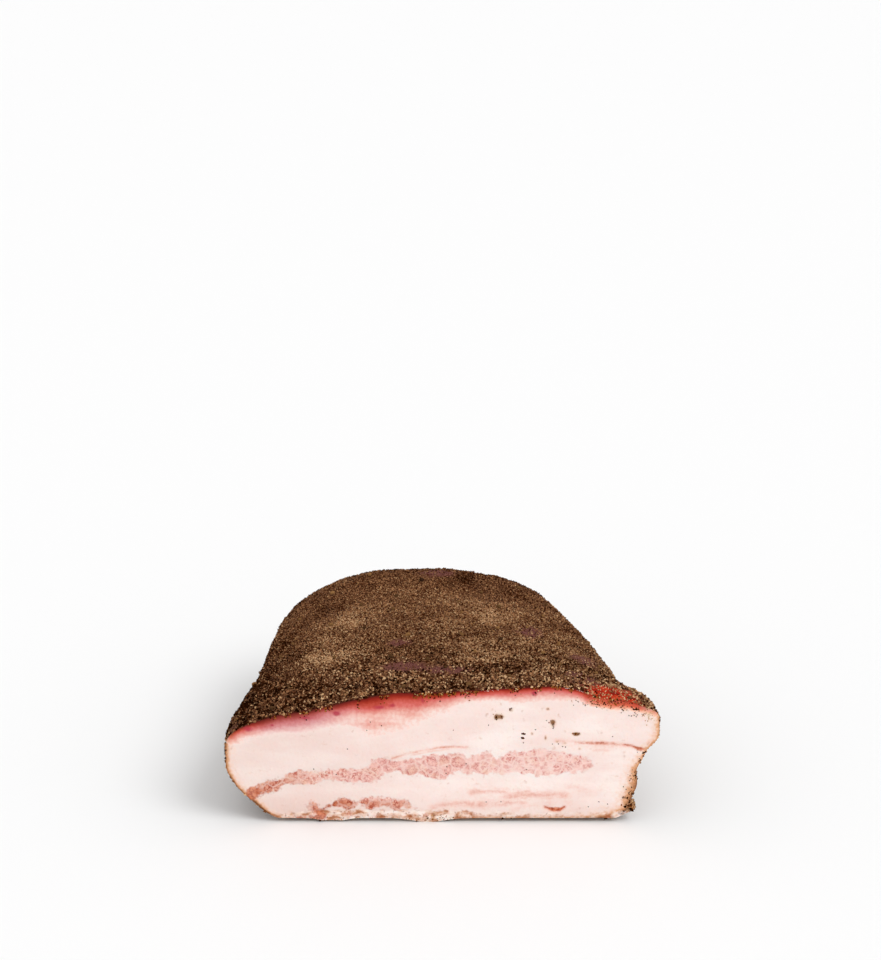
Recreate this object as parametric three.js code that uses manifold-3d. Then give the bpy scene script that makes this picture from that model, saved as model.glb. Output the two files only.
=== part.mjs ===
// Half of a cured pork jowl in a crust of crushed pepper, cut straight across so that its fat and lean show.
// Millimetres, +Z up. The cut face looks towards -Y and the rounded end of the jowl points towards +Y.
// The origin is under the middle of the piece, on the surface that it lies on.

import * as THREE from "three";
import { LoftGeometry } from "three/addons/geometries/LoftGeometry.js";
import { ImprovedNoise } from "three/addons/math/ImprovedNoise.js";
import { mergeVertices } from "three/addons/utils/BufferGeometryUtils.js";
import Module from "manifold-3d";

const wasm = await Module();
wasm.setup();

// Driving sizes
const WIDTH = 180; // across the cut face
const DEPTH = 138; // from the cut face to the rounded end
const GAP = 0.3; // between the fat and each lean layer

// The sides seen from above, before the far end rounds them off: [how far back, how far across], as shares
// of DEPTH and of WIDTH
const LEFT_SIDE = [
  [0, -0.5],
  [0.13, -0.492],
  [0.45, -0.439],
  [0.62, -0.422],
  [1, -0.44],
];
const RIGHT_SIDE = [
  [0, 0.5],
  [0.09, 0.486],
  [0.27, 0.419],
  [0.36, 0.406],
  [0.7, 0.33],
  [1, 0.3],
];
const MIDDLE_AT_END = -10; // how far across the middle of the far end is

// Height of the top before its shoulders round over, by place across: at the cut, and over the rest
const TOP_AT_CUT = [
  [-90, 44],
  [-78, 48.3],
  [-56, 51.6],
  [-44, 54.5],
  [-20, 59.4],
  [0, 59.9],
  [45, 63],
  [56, 61.6],
  [62, 58.9],
  [75, 57.2],
  [90, 55],
];
const TOP_BEHIND = [
  [-82, 46],
  [-62, 52.5],
  [-30, 59],
  [0, 61],
  [35, 57.8],
  [75, 52],
];
const TOP_BLEND = 60; // how far back the first gives way to the second
// The hollow before the far rim, the rim itself, and the dip in the right shoulder
const TOP_SWELLS = [
  { x: -8, y: 100, across: 48, back: 11, rise: -2.6 },
  { x: -20, y: 124, across: 42, back: 14, rise: 3.4 },
  { x: 70, y: 44, across: 12, back: 12, rise: -1.5 },
];

// Height of the widest line: low on the left and round the back, high at the right end of the cut
const SIDE_LEVEL = 29;
const SIDE_SWELL = { x: 90, y: 0, across: 45, back: 60, rise: 14 };

// How square the section is: at its upper shoulders, and at the left and right of its underside
const SHOULDER = 6;
const UNDER_LEFT = 3;
const UNDER_RIGHT = 6;
const TUCK = { in: 9.5, over: 20, back: 80 }; // how the right wall leans in under the widest line

// The edge of the cut: the slope at its lower left, which starts at a height and ends in a corner, and the
// crease, swelling and lip of its right end
const SLOPE = { in: 4.3, top: 26, over: 16.5, corner: 9, back: 30 };
const RIGHT_END = [
  { z: 34.5, high: 3, out: -1.5, back: 15 },
  { z: 18, high: 4.5, out: 1.1, back: 15 },
  { z: 6.4, high: 2.7, out: 3.9, back: 6 },
];

// The far end: how far before it the plan and the height begin to round off, and how squarely
const PLAN_END = { length: 62, exponent: 2.6 };
const HEIGHT_END = { length: 27, exponent: 2.6 };
const LAST_RING = 0.04; // size of the last ring, as a share

// The underside: pressed flat on the table, with shallow hollows, and lifted along the cut between low bumps
const SAG = 3.5;
const HOLLOW = 1.8;
const CUT_LIFT = { height: 1.9, back: 10 };
const CUT_BUMPS = [
  { x: -46, y: 0, across: 6, back: 99, rise: 1 },
  { x: -6, y: 0, across: 9, back: 99, rise: 1 },
];

// Relief of the crust
const CRAGS = [
  { size: 21, height: 0.9 },
  { size: 8, height: 0.45 },
];

const AROUND = 90; // steps round each ring of the skin
const BACK = 32; // rings from the cut to the far end

// The coarsest pepper fragments
const GRAINS = 84;
const GRAIN_RADIUS = [0.9, 1.5];
const GRAIN_LIFT = 0.25; // how far a grain's middle is above the crust, as a share of its radius
const SPREAD_TRIES = 12; // places tried for each grain, of which the emptiest is kept
const CLEAR_OF_CUT = 3;
const CLEAR_OF_TABLE = 7;

// The hard flap of crust at the lower right corner of the cut
const FLAP = { x: 77.2, y: 4.3, z: 6.6, wide: 3.4, deep: 4.2, high: 2.5 };

// Lean layers: the middle height and half thickness of the section at the cut, by place across, the length
// of the layer behind the cut, and how far it has drifted right and risen at its far end
const LEAN_LAYERS = {
  lean_streak_upper: {
    left: -78.5,
    right: 62.5,
    length: 112,
    level: [
      [-78.5, 14.5],
      [-70, 18],
      [-60, 21],
      [-44, 22.2],
      [-28, 24.3],
      [0, 26.6],
      [20, 27.8],
      [62.5, 27],
    ],
    half: [
      [-78.5, 2.2],
      [-60, 3.3],
      [-44, 3],
      [-27, 4.7],
      [-4, 5.8],
      [18, 5.4],
      [40, 6.2],
      [62.5, 4],
    ],
    drift: 14,
    rise: 3,
    lobes: 15,
  },
  lean_streak_lower: {
    left: -51,
    right: -11,
    length: 74,
    level: [
      [-51, 5.8],
      [-44, 8.6],
      [-25, 9.2],
      [-11, 7.2],
    ],
    half: [
      [-51, 1.6],
      [-30, 2.5],
      [-11, 1.6],
    ],
    drift: 4,
    rise: 1,
    lobes: 6,
  },
};
const EDGE_ROUNDNESS = 0.55; // how bluntly a layer's section ends at its sides, 1 for a lens
const TAIL = 0.12; // share of its section that a layer still has at its far end
const LOBE_DEPTH = 0.16; // share of a layer's thickness that its scalloped edge goes in
const LAYER_AROUND = 48;
const LAYER_BACK = 7;

const COLOURS = { crust: 0x5d4030, lean: 0xd09a90 };

const { clamp, lerp, smoothstep } = THREE.MathUtils;
const noise = new ImprovedNoise();

const swell = ({ x, y, across, back, rise }, px, py) =>
  rise * Math.exp(-(((px - x) / across) ** 2) - ((py - y) / back) ** 2);

// A smooth function through named places
function through(places) {
  const slope = places.map((_, i) => {
    const [a, b] = [places[Math.max(i - 1, 0)], places[Math.min(i + 1, places.length - 1)]];
    return (b[1] - a[1]) / (b[0] - a[0]);
  });
  return (place) => {
    const at = clamp(place, places[0][0], places[places.length - 1][0]);
    const i = Math.max(1, places.findIndex(([known]) => known >= at));
    const [x0, y0] = places[i - 1];
    const [x1, y1] = places[i];
    const step = x1 - x0;
    const t = (at - x0) / step;
    return (
      (1 + 2 * t) * (1 - t) ** 2 * y0 +
      t * (1 - t) ** 2 * step * slope[i - 1] +
      t * t * (3 - 2 * t) * y1 +
      t * t * (t - 1) * step * slope[i]
    );
  };
}

const leftSide = through(LEFT_SIDE);
const rightSide = through(RIGHT_SIDE);
const topAtCut = through(TOP_AT_CUT);
const topBehind = through(TOP_BEHIND);

const sideHeight = (x, y) => SIDE_LEVEL + swell(SIDE_SWELL, x, y);

function topHeight(x, y) {
  const plain = lerp(topAtCut(x), topBehind(x), smoothstep(y, 0, TOP_BLEND));
  return TOP_SWELLS.reduce((sum, one) => sum + swell(one, x, y), plain);
}

// How much of the section is left at a place back, where it rounds off towards the far end
function roundedOff(y, { length, exponent }) {
  const share = clamp((y - DEPTH + length) / length, 0, 1);
  return Math.max((1 - share ** exponent) ** (1 / exponent), LAST_RING);
}

// Lowest height that the skin may have: the table, shallow hollows over it, and the lift along the cut
function underside(x, y) {
  const hollow = HOLLOW * Math.max(0, 1.7 * noise.noise(x / 19, y / 17, 4.3) - 0.12);
  const bumps = CUT_BUMPS.reduce((sum, bump) => sum + swell(bump, x, y), 0);
  const lift = CUT_LIFT.height * Math.max(0, 1 - bumps) * Math.exp(-((y / CUT_LIFT.back) ** 2));
  return Math.max(hollow, lift);
}

const crag = (x, y, z) =>
  CRAGS.reduce((sum, { size, height }) => sum + height * noise.noise(x / size, y / size, z / size), 0);

// How far the skin near the cut lies to the right of its plain form. across is its place in the section,
// from -1 at the left side to 1 at the right.
function atTheCut(across, y, z) {
  const { in: inward, top, over, corner, back } = SLOPE;
  const left = smoothstep(top - z, 0, over) * smoothstep(z, 0, corner) * smoothstep(-across, 0.3, 0.9);
  const right = RIGHT_END.reduce(
    (sum, one) => sum + one.out * Math.exp(-(((z - one.z) / one.high) ** 2) - (y / one.back) ** 2),
    0,
  );
  return inward * left * Math.exp(-((y / back) ** 2)) + right * smoothstep(across, 0.6, 0.95);
}

// A point at an even pace round a rectangle that stands for the section, starting at the middle of its top.
// Gives [u, v] from -1 to 1. The top and the bottom run from u = -1 to 1, and v is 0 at the widest line.
function roundTheSection(share) {
  const [half, up, down] = [WIDTH / 2, SIDE_LEVEL, SIDE_LEVEL + SAG];
  const corners = [
    [0, 1],
    [1, 1],
    [1, 0],
    [1, -1],
    [-1, -1],
    [-1, 0],
    [-1, 1],
    [0, 1],
  ];
  const lengths = [half, up, down, 2 * half, down, up, half];
  let left = share * lengths.reduce((sum, length) => sum + length, 0);
  const i = lengths.findIndex((length) => {
    left -= length;
    return left <= 0;
  });
  const t = 1 + left / lengths[i];
  return [lerp(corners[i][0], corners[i + 1][0], t), lerp(corners[i][1], corners[i + 1][1], t)];
}

// A point of the skin: around goes once round the section, and y is how far back it is
function skinPoint(around, y, target) {
  const [u, v] = roundTheSection(around);
  const exponent = v > 0 ? SHOULDER : lerp(UNDER_LEFT, UNDER_RIGHT, smoothstep(u, -0.6, 0.6));
  const onto = (Math.abs(u) ** exponent + Math.abs(v) ** exponent) ** (-1 / exponent);
  const [across, lift] = [u * onto, v * onto];

  const middle = MIDDLE_AT_END * (y / DEPTH);
  const edge = (across > 0 ? rightSide(y / DEPTH) : leftSide(y / DEPTH)) * WIDTH;
  let x = middle + Math.abs(across) * (edge - middle) * roundedOff(y, PLAN_END);
  const side = sideHeight(x, y);
  const reach = lift > 0 ? topHeight(x, y) - side : side + SAG;
  let z = side + reach * lift * roundedOff(y, HEIGHT_END);

  const inward = TUCK.in * smoothstep(side - z, 0, TUCK.over) * smoothstep(across, 0.2, 0.95);
  x += atTheCut(across, y, z) - inward * Math.exp(-((y / TUCK.back) ** 2));
  const bump = crag(x, y, z) / Math.hypot(across, lift);
  x += across * bump;
  z = Math.max(z + lift * bump, lift < -0.5 ? underside(x, y) : 0);
  return target.set(x, y, z);
}

// Rings lie closer together where the far end rounds off
const placeBack = (share) => DEPTH * Math.sin((share * Math.PI) / 2);

// A closed manifold-3d solid from a three.js geometry. Triangles that have no area are dropped.
function solidOf(geometry) {
  const bare = new THREE.BufferGeometry().setAttribute("position", geometry.attributes.position);
  const merged = mergeVertices(bare.setIndex(geometry.index), 1e-4);
  const triangles = [];
  for (let i = 0; i < merged.index.count; i += 3) {
    const [a, b, c] = merged.index.array.slice(i, i + 3);
    if (a !== b && b !== c && c !== a) triangles.push(a, b, c);
  }
  const mesh = new wasm.Mesh({
    numProp: 3,
    vertProperties: merged.attributes.position.array,
    triVerts: new Uint32Array(triangles),
  });
  return new wasm.Manifold(mesh);
}

const lofted = (rings) => solidOf(new LoftGeometry(rings, { capStart: true, capEnd: true }));

// The jowl behind the cut, bare of pepper
function jowl() {
  const rings = [];
  for (let step = 0; step <= BACK; step++) {
    const y = placeBack(step / BACK);
    rings.push(Array.from({ length: AROUND }, (_, i) => skinPoint(i / AROUND, y, new THREE.Vector3())));
  }
  return lofted(rings);
}

// A ring in a plane across the jowl, moved out by a distance all round
function movedOut(ring, distance) {
  return ring.map((point, i) => {
    const [before, after] = [ring.at(i - 1), ring[(i + 1) % ring.length]];
    const out = new THREE.Vector3(before.z - after.z, 0, after.x - before.x).normalize();
    return point.clone().addScaledVector(out, distance);
  });
}

// A lean layer: a thin scalloped tongue that runs back from the cut. Its pocket is larger by extra all round,
// and starts in front of the cut.
function leanLayer({ left, right, length, level, half, drift, rise, lobes }, extra = 0) {
  const levelAt = through(level);
  const halfAt = through(half);
  const middle = (left + right) / 2;
  const wide = (right - left) / 2;
  const rings = [];
  for (let step = 0; step <= LAYER_BACK; step++) {
    const share = step / LAYER_BACK;
    const kept = Math.max(Math.sqrt(1 - share ** 4), TAIL);
    const ring = [];
    for (let turn = 0; turn < LAYER_AROUND; turn++) {
      const angle = (turn / LAYER_AROUND) * 2 * Math.PI;
      const [across, up] = [-Math.cos(angle), Math.sin(angle)];
      const at = middle + wide * across;
      const scallop = 1 - LOBE_DEPTH * Math.abs(Math.sin((lobes * angle) / 2));
      const thick = halfAt(at) * Math.abs(up) ** EDGE_ROUNDNESS * Math.sign(up) * scallop;
      ring.push(
        new THREE.Vector3(
          middle + drift * share + wide * across * kept,
          share * length,
          levelAt(at) + rise * share + thick * kept,
        ),
      );
    }
    rings.push(movedOut(ring, extra));
  }
  if (extra) {
    rings.unshift(rings[0].map((point) => point.clone().setY(-extra)));
    rings.push(rings.at(-1).map((point) => point.clone().setY(length + extra)));
  }
  return lofted(rings);
}

// Even random numbers from 0 to 1, the same on each run
function seeded(seed) {
  let state = seed;
  return () => {
    state = (Math.imul(state, 1664525) + 1013904223) >>> 0;
    return state / 2 ** 32;
  };
}

// Pepper fragments spread evenly over the crust: each goes where it is furthest from those before it
function pepper() {
  const random = seeded(11);
  const placed = [];
  const spot = () => {
    const [around, y] = [random(), DEPTH * random()];
    const p = skinPoint(around, y, new THREE.Vector3());
    const along = skinPoint((around + 1e-3) % 1, y, new THREE.Vector3()).sub(p);
    const out = new THREE.Vector3(-along.z, 0, along.x).normalize();
    return { p, out };
  };
  const allowed = ({ p }) => p.y > CLEAR_OF_CUT && p.z > CLEAR_OF_TABLE;
  const apart = ({ p }) => Math.min(...placed.map((other) => other.p.distanceTo(p)));
  while (placed.length < GRAINS) {
    const tries = Array.from({ length: SPREAD_TRIES }, spot).filter(allowed);
    if (tries.length) placed.push(tries.reduce((a, b) => (apart(b) > apart(a) ? b : a)));
  }
  return placed.map(({ p, out }) => {
    const radius = lerp(...GRAIN_RADIUS, random());
    const grain = new THREE.IcosahedronGeometry(radius, 0);
    grain.scale(1, 0.8, 0.65 + 0.3 * random());
    grain.rotateX(2 * Math.PI * random()).rotateY(2 * Math.PI * random());
    grain.translate(...p.addScaledVector(out, radius * GRAIN_LIFT));
    return solidOf(grain);
  });
}

function cornerFlap() {
  const { x, y, z, wide, deep, high } = FLAP;
  return solidOf(new THREE.IcosahedronGeometry(1, 2).scale(wide, deep, high).translate(x, y, z));
}

function meshOf(name, solid, colour, roughness) {
  const { vertProperties, triVerts } = solid.getMesh();
  const geometry = new THREE.BufferGeometry();
  geometry.setAttribute("position", new THREE.BufferAttribute(vertProperties, 3));
  geometry.setIndex(new THREE.BufferAttribute(triVerts, 1));
  geometry.computeVertexNormals();
  const material = new THREE.MeshStandardMaterial({ color: colour, roughness, metalness: 0 });
  const mesh = new THREE.Mesh(geometry, material);
  mesh.name = name;
  return mesh;
}

const layers = Object.entries(LEAN_LAYERS);
const crusted = [cornerFlap(), ...pepper()].reduce((whole, piece) => whole.add(piece), jowl());
const body = layers.reduce((rest, [, layer]) => rest.subtract(leanLayer(layer, GAP)), crusted);

const group = new THREE.Group();
group.add(meshOf("fat_and_crust", body, COLOURS.crust, 0.85));
for (const [name, layer] of layers) {
  group.add(meshOf(name, leanLayer(layer), COLOURS.lean, 0.6));
}

const box = new THREE.Box3().setFromObject(group);
const centre = box.getCenter(new THREE.Vector3());
group.position.set(-centre.x, -centre.y, -box.min.z);

export default group;
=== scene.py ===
# Half of a cured pork jowl in a crust of crushed pepper, cut straight across so that its fat and lean show.
# Sizes are millimetres in the part's own frame: the cut is the plane y = 0, its middle is x = 0, and the
# surface that the piece lies on is z = 0. in_frame() takes them to the frame, in metres.

import math
from itertools import combinations

import bpy
import numpy as np
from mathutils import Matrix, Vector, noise
from mathutils.bvhtree import BVHTree
from mathutils.geometry import delaunay_2d_cdt


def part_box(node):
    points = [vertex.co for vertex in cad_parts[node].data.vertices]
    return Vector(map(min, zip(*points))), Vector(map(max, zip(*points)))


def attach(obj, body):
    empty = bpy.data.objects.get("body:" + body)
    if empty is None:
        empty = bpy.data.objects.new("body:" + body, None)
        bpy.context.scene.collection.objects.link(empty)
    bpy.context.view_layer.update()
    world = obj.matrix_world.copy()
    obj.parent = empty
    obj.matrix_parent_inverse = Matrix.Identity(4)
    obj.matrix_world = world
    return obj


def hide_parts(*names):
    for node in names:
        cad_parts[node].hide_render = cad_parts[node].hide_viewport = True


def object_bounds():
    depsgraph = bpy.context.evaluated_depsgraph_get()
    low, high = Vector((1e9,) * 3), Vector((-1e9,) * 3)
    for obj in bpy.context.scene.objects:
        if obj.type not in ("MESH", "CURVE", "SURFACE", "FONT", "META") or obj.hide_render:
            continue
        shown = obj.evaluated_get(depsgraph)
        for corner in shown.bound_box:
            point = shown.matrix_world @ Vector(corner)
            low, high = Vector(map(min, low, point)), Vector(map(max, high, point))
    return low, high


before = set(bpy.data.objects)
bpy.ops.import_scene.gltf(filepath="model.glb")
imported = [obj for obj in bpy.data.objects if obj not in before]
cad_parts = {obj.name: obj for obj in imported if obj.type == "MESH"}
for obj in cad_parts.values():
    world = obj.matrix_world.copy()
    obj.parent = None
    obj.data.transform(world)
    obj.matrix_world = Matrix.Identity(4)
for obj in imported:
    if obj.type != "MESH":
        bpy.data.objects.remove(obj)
cad_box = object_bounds()

# Form of the jowl, as in the part's source. A swelling is written as its place across and back, how far it
# reaches both ways, and its rise. Those of the right end have a height for the place across.
WIDTH = 180
DEPTH = 138
GAP = 0.3
LEFT_SIDE = [(0, -0.5), (0.13, -0.492), (0.45, -0.439), (0.62, -0.422), (1, -0.44)]
RIGHT_SIDE = [(0, 0.5), (0.09, 0.486), (0.27, 0.419), (0.36, 0.406), (0.7, 0.33), (1, 0.3)]
MIDDLE_AT_END = -10
TOP_AT_CUT = [
    (-90, 44), (-78, 48.3), (-56, 51.6), (-44, 54.5), (-20, 59.4), (0, 59.9),
    (45, 63), (56, 61.6), (62, 58.9), (75, 57.2), (90, 55),
]
TOP_BEHIND = [(-82, 46), (-62, 52.5), (-30, 59), (0, 61), (35, 57.8), (75, 52)]
TOP_BLEND = 60
TOP_SWELLS = [(-8, 100, 48, 11, -2.6), (-20, 124, 42, 14, 3.4), (70, 44, 12, 12, -1.5)]
SIDE_LEVEL = 29
SIDE_SWELL = (90, 0, 45, 60, 14)
SHOULDER = 6
UNDER_LEFT = 3
UNDER_RIGHT = 6
TUCK = dict(inward=9.5, over=20, back=80)
SLOPE = dict(inward=4.3, top=26, over=16.5, corner=9, back=30)
RIGHT_END = [(34.5, 0, 3, 15, -1.5), (18, 0, 4.5, 15, 1.1), (6.4, 0, 2.7, 6, 3.9)]
PLAN_END = dict(length=62, exponent=2.6)
HEIGHT_END = dict(length=27, exponent=2.6)
LAST_RING = 0.04
SAG = 3.5
HOLLOW = 1.8
CUT_LIFT = dict(height=1.9, back=10)
CUT_BUMPS = [(-46, 0, 6, 99, 1), (-6, 0, 9, 99, 1)]
FLAP = dict(place=(77.2, 4.3, 6.6), half=(3.4, 4.2, 2.5), relief=[(2.2, 0.5), (1, 0.3)])
COARSE_GRAINS = 84
COARSE_RADIUS = (0.9, 1.5)
COARSE_LIFT = 0.25
SPREAD_TRIES = 12
CLEAR_OF_CUT = 3
CLEAR_OF_TABLE = 7

# Relief of the crust, from its crags down to the lumps between grains: (size, height)
CRAGS = [(21, 0.9), (8, 0.45)]
LUMPS = [(4.2, 0.3), (2.1, 0.18)]

# Mesh of the skin: points round the section, rings from the cut to the end, and the least gap between the
# first two rings
AROUND = 420
RINGS = 92
FIRST_STEP = 0.4

# Outlines of the lean on the cut: (place across, height), and how each layer runs back from it
LEAN_LEFT = -78.5
LEAN = {
    "lean_streak_upper": dict(
        top=[
            (LEAN_LEFT, 13.2), (-76.5, 18.2), (-68.2, 20.6), (-60, 24.6), (-50.6, 23.8), (-46, 25.3),
            (-33, 25.6), (-27, 30), (-20.3, 29.2), (-6.4, 31), (-3.6, 32.3), (3.5, 31.9), (8.5, 33),
            (10.3, 30.8), (17, 33.2), (20, 32.8), (22.5, 30.3), (26, 32.4), (36, 34.3), (42, 34.5),
            (54.7, 31.7), (60, 30.6), (62.5, 27),
        ],
        bottom=[
            (LEAN_LEFT, 12.8), (-76.5, 12.6), (-74, 14), (-68.7, 14.9), (-66, 18.2), (-52.3, 18.2),
            (-48.7, 20.6), (-40, 19.2), (-29.1, 19.3), (-21, 24.2), (-15, 22), (-9, 22), (-1.5, 20.2),
            (1, 20.4), (6.8, 24.4), (11, 22.1), (13.5, 23.4), (17.1, 21.8), (19.7, 23.8), (26.3, 22.4),
            (31, 23.5), (38, 22), (47.2, 22.2), (51, 24), (53.5, 22.9), (59, 24.4), (62.5, 26),
        ],
        length=112, drift=14, rise=3,
    ),
    "lean_streak_lower": dict(
        top=[
            (-51, 6), (-47.7, 8.2), (-41.2, 11.7), (-37, 10.3), (-31.7, 11.7), (-21.6, 11.7), (-17, 10.4),
            (-14.8, 10.3), (-11, 7),
        ],
        bottom=[
            (-51, 5.2), (-45.7, 7.2), (-38.5, 5.9), (-34.9, 8.4), (-30.4, 6.3), (-23, 7.9), (-20, 5.9),
            (-15.6, 7), (-11, 6.2),
        ],
        length=74, drift=4, rise=1,
    ),
}
LEAN_BACK = 9
TAIL = 0.12
LEAN_EDGE = 0.5

# The cut: how far its rim and the rest lie behind the plane, which leaves room for specks, and its mesh
CUT_BACK = 0.2
RIM_BACK = 0.9
RIM_ROUND = 1.8
CUT_MESH = 0.6
CUT_RELIEF = [(16, 0.16), (4, 0.05)]
GROOVE_WIDTH = 0.45
SHARP_ANGLE = 50

# How far the cut is measured into the lean and out of it, and what counts as lean behind the cut
LEAN_REACH = 6
LEAN_BEHIND = 2


def own_shift():
    """What takes the part's own millimetres to those of the frame."""
    lean_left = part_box("lean_streak_upper")[0].x * 1000
    return np.array([lean_left - LEAN_LEFT, cad_box[0][1] * 1000, 0])


SHIFT = own_shift()
BOX_LOW = np.array(cad_box[0]) * 1000 - SHIFT
BOX_HIGH = np.array(cad_box[1]) * 1000 - SHIFT


def in_frame(points):
    """Points in metres, in the frame."""
    return (np.asarray(points, float) + SHIFT) / 1000


def smoothstep(value, low, high):
    share = np.clip((value - low) / (high - low), 0, 1)
    return share * share * (3 - 2 * share)


def lerp(a, b, share):
    return a + (b - a) * share


def swell(px, py, x, y, across, back, rise):
    return rise * np.exp(-(((px - x) / across) ** 2) - ((py - y) / back) ** 2)


def swells(px, py, every):
    return sum(swell(px, py, *one) for one in every)


def through(places):
    """A smooth function through named places."""
    x, y = np.array(places, float).T
    before = np.maximum(np.arange(len(x)) - 1, 0)
    after = np.minimum(np.arange(len(x)) + 1, len(x) - 1)
    slope = (y[after] - y[before]) / (x[after] - x[before])

    def value(place):
        at = np.clip(place, x[0], x[-1])
        i = np.clip(np.searchsorted(x, at), 1, len(x) - 1)
        step = x[i] - x[i - 1]
        t = (at - x[i - 1]) / step
        return (
            (1 + 2 * t) * (1 - t) ** 2 * y[i - 1]
            + t * (1 - t) ** 2 * step * slope[i - 1]
            + t * t * (3 - 2 * t) * y[i]
            + t * t * (t - 1) * step * slope[i]
        )

    return value


def field(points, size, seed=0):
    """Smooth noise from about -1 to 1 at each point, with bumps of that size."""
    offset = np.array([3.7, 9.1, 5.3]) * seed
    places = (np.atleast_2d(points) / size + offset).tolist()
    return np.fromiter((noise.noise(place) for place in places), float, len(places))


left_side = through(LEFT_SIDE)
right_side = through(RIGHT_SIDE)
top_at_cut = through(TOP_AT_CUT)
top_behind = through(TOP_BEHIND)


def side_height(x, y):
    return SIDE_LEVEL + swell(x, y, *SIDE_SWELL)


def top_height(x, y):
    plain = lerp(top_at_cut(x), top_behind(x), smoothstep(y, 0, TOP_BLEND))
    return plain + swells(x, y, TOP_SWELLS)


def rounded_off(y, length, exponent):
    share = np.clip((y - DEPTH + length) / length, 0, 1)
    return np.maximum((1 - share**exponent) ** (1 / exponent), LAST_RING)


def underside(x, y):
    """Lowest height that the skin may have."""
    places = np.stack([x / 19, y / 17, np.full_like(x, 4.3)], 1)
    hollow = HOLLOW * np.maximum(0, 1.7 * field(places, 1) - 0.12)
    bumps = swells(x, y, CUT_BUMPS)
    lift = CUT_LIFT["height"] * np.maximum(0, 1 - bumps) * np.exp(-((y / CUT_LIFT["back"]) ** 2))
    return np.maximum(hollow, lift)


def at_the_cut(across, y, z):
    """How far the skin near the cut lies to the right of its plain form."""
    left = smoothstep(SLOPE["top"] - z, 0, SLOPE["over"]) * smoothstep(z, 0, SLOPE["corner"])
    left = left * smoothstep(-across, 0.3, 0.9) * np.exp(-((y / SLOPE["back"]) ** 2))
    right = swells(z, y, RIGHT_END) * smoothstep(across, 0.6, 0.95)
    return SLOPE["inward"] * left + right


def round_the_section(share):
    """Points at an even pace round a rectangle that stands for the section, from the middle of its top."""
    half, up, down = WIDTH / 2, SIDE_LEVEL, SIDE_LEVEL + SAG
    corners = np.array([(0, 1), (1, 1), (1, 0), (1, -1), (-1, -1), (-1, 0), (-1, 1), (0, 1)], float)
    ends = np.cumsum([0, half, up, down, 2 * half, down, up, half])
    walked = share * ends[-1]
    return np.interp(walked, ends, corners[:, 0]), np.interp(walked, ends, corners[:, 1])


def skin(around, y, relief=CRAGS):
    """Points of the skin: around goes once round the section, and y is how far back they are."""
    around, y = np.broadcast_arrays(np.asarray(around, float), np.asarray(y, float))
    u, v = round_the_section(around)
    under = lerp(UNDER_LEFT, UNDER_RIGHT, smoothstep(u, -0.6, 0.6))
    exponent = np.where(v > 0, SHOULDER, under)
    onto = (np.abs(u) ** exponent + np.abs(v) ** exponent) ** (-1 / exponent)
    across, lift = u * onto, v * onto

    middle = MIDDLE_AT_END * (y / DEPTH)
    edge = np.where(across > 0, right_side(y / DEPTH), left_side(y / DEPTH)) * WIDTH
    x = middle + np.abs(across) * (edge - middle) * rounded_off(y, **PLAN_END)
    side = side_height(x, y)
    reach = np.where(lift > 0, top_height(x, y) - side, side + SAG)
    z = side + reach * lift * rounded_off(y, **HEIGHT_END)

    inward = TUCK["inward"] * smoothstep(side - z, 0, TUCK["over"]) * smoothstep(across, 0.2, 0.95)
    x = x + at_the_cut(across, y, z) - inward * np.exp(-((y / TUCK["back"]) ** 2))
    places = np.stack([x, y, z], -1).reshape(-1, 3)
    bump = sum(height * field(places, size) for size, height in relief).reshape(x.shape)
    bump = bump / np.hypot(across, lift)
    x = x + across * bump
    floor = np.where(lift < -0.5, underside(x.ravel(), y.ravel()).reshape(x.shape), 0)
    z = np.maximum(z + lift * bump, floor)
    return np.stack([x, y, z], -1)


def inside(points, loop):
    """Which of the points in a plane lie inside a closed loop."""
    x, z = points[:, 0], points[:, 1]
    within = np.zeros(len(points), bool)
    for (ax, az), (bx, bz) in zip(loop, np.roll(loop, -1, axis=0)):
        crosses = (az > z) != (bz > z)
        with np.errstate(divide="ignore", invalid="ignore"):
            at = ax + (z - az) / (bz - az) * (bx - ax)
        within ^= crosses & (x < at)
    return within


def nearest(points, targets):
    """Distance from each point to the nearest target."""
    at_once = 4000
    best = []
    for start in range(0, len(points), at_once):
        gaps = points[start : start + at_once, None] - targets[None]
        best.append(np.sqrt((gaps**2).sum(-1).min(1)))
    return np.concatenate(best)


def dense(line, step=0.25, closed=False):
    """Points at an even pace along a line."""
    line = np.array(line, float)
    if closed:
        line = np.vstack([line, line[:1]])
    lengths = np.r_[0, np.cumsum(np.hypot(*np.diff(line, axis=0).T))]
    at = np.arange(0, lengths[-1], step)
    return np.stack([np.interp(at, lengths, line[:, 0]), np.interp(at, lengths, line[:, 1])], 1)


def lean_outline(top, bottom, **_):
    """The loop round a streak of lean on the cut, in x and z."""
    left, right = top[0][0], top[-1][0]
    at = (left + right) / 2 - (right - left) / 2 * np.cos(np.linspace(0, math.pi, 220))
    upper = np.stack([at, through(top)(at)], 1)
    lower = np.stack([at, through(bottom)(at)], 1)[::-1]
    loop = dense(np.vstack([upper, lower]), CUT_MESH * 0.9, closed=True)
    places = np.insert(loop, 1, 0, axis=1)
    out = LEAN_EDGE + 0.3 * field(places, 2.2, 2)
    return moved_out(loop, out)


def moved_out(loop, distance):
    """A clockwise loop in x and z, moved out."""
    along = np.roll(loop, -1, axis=0) - np.roll(loop, 1, axis=0)
    normal = np.stack([-along[:, 1], along[:, 0]], 1)
    normal /= np.maximum(np.hypot(*normal.T), 1e-9)[:, None]
    return loop + normal * np.reshape(distance, (-1, 1))


# Meshes


def placed(name, data):
    """An object in the scene."""
    made = bpy.data.objects.new(name, data)
    bpy.context.scene.collection.objects.link(made)
    return made


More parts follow.
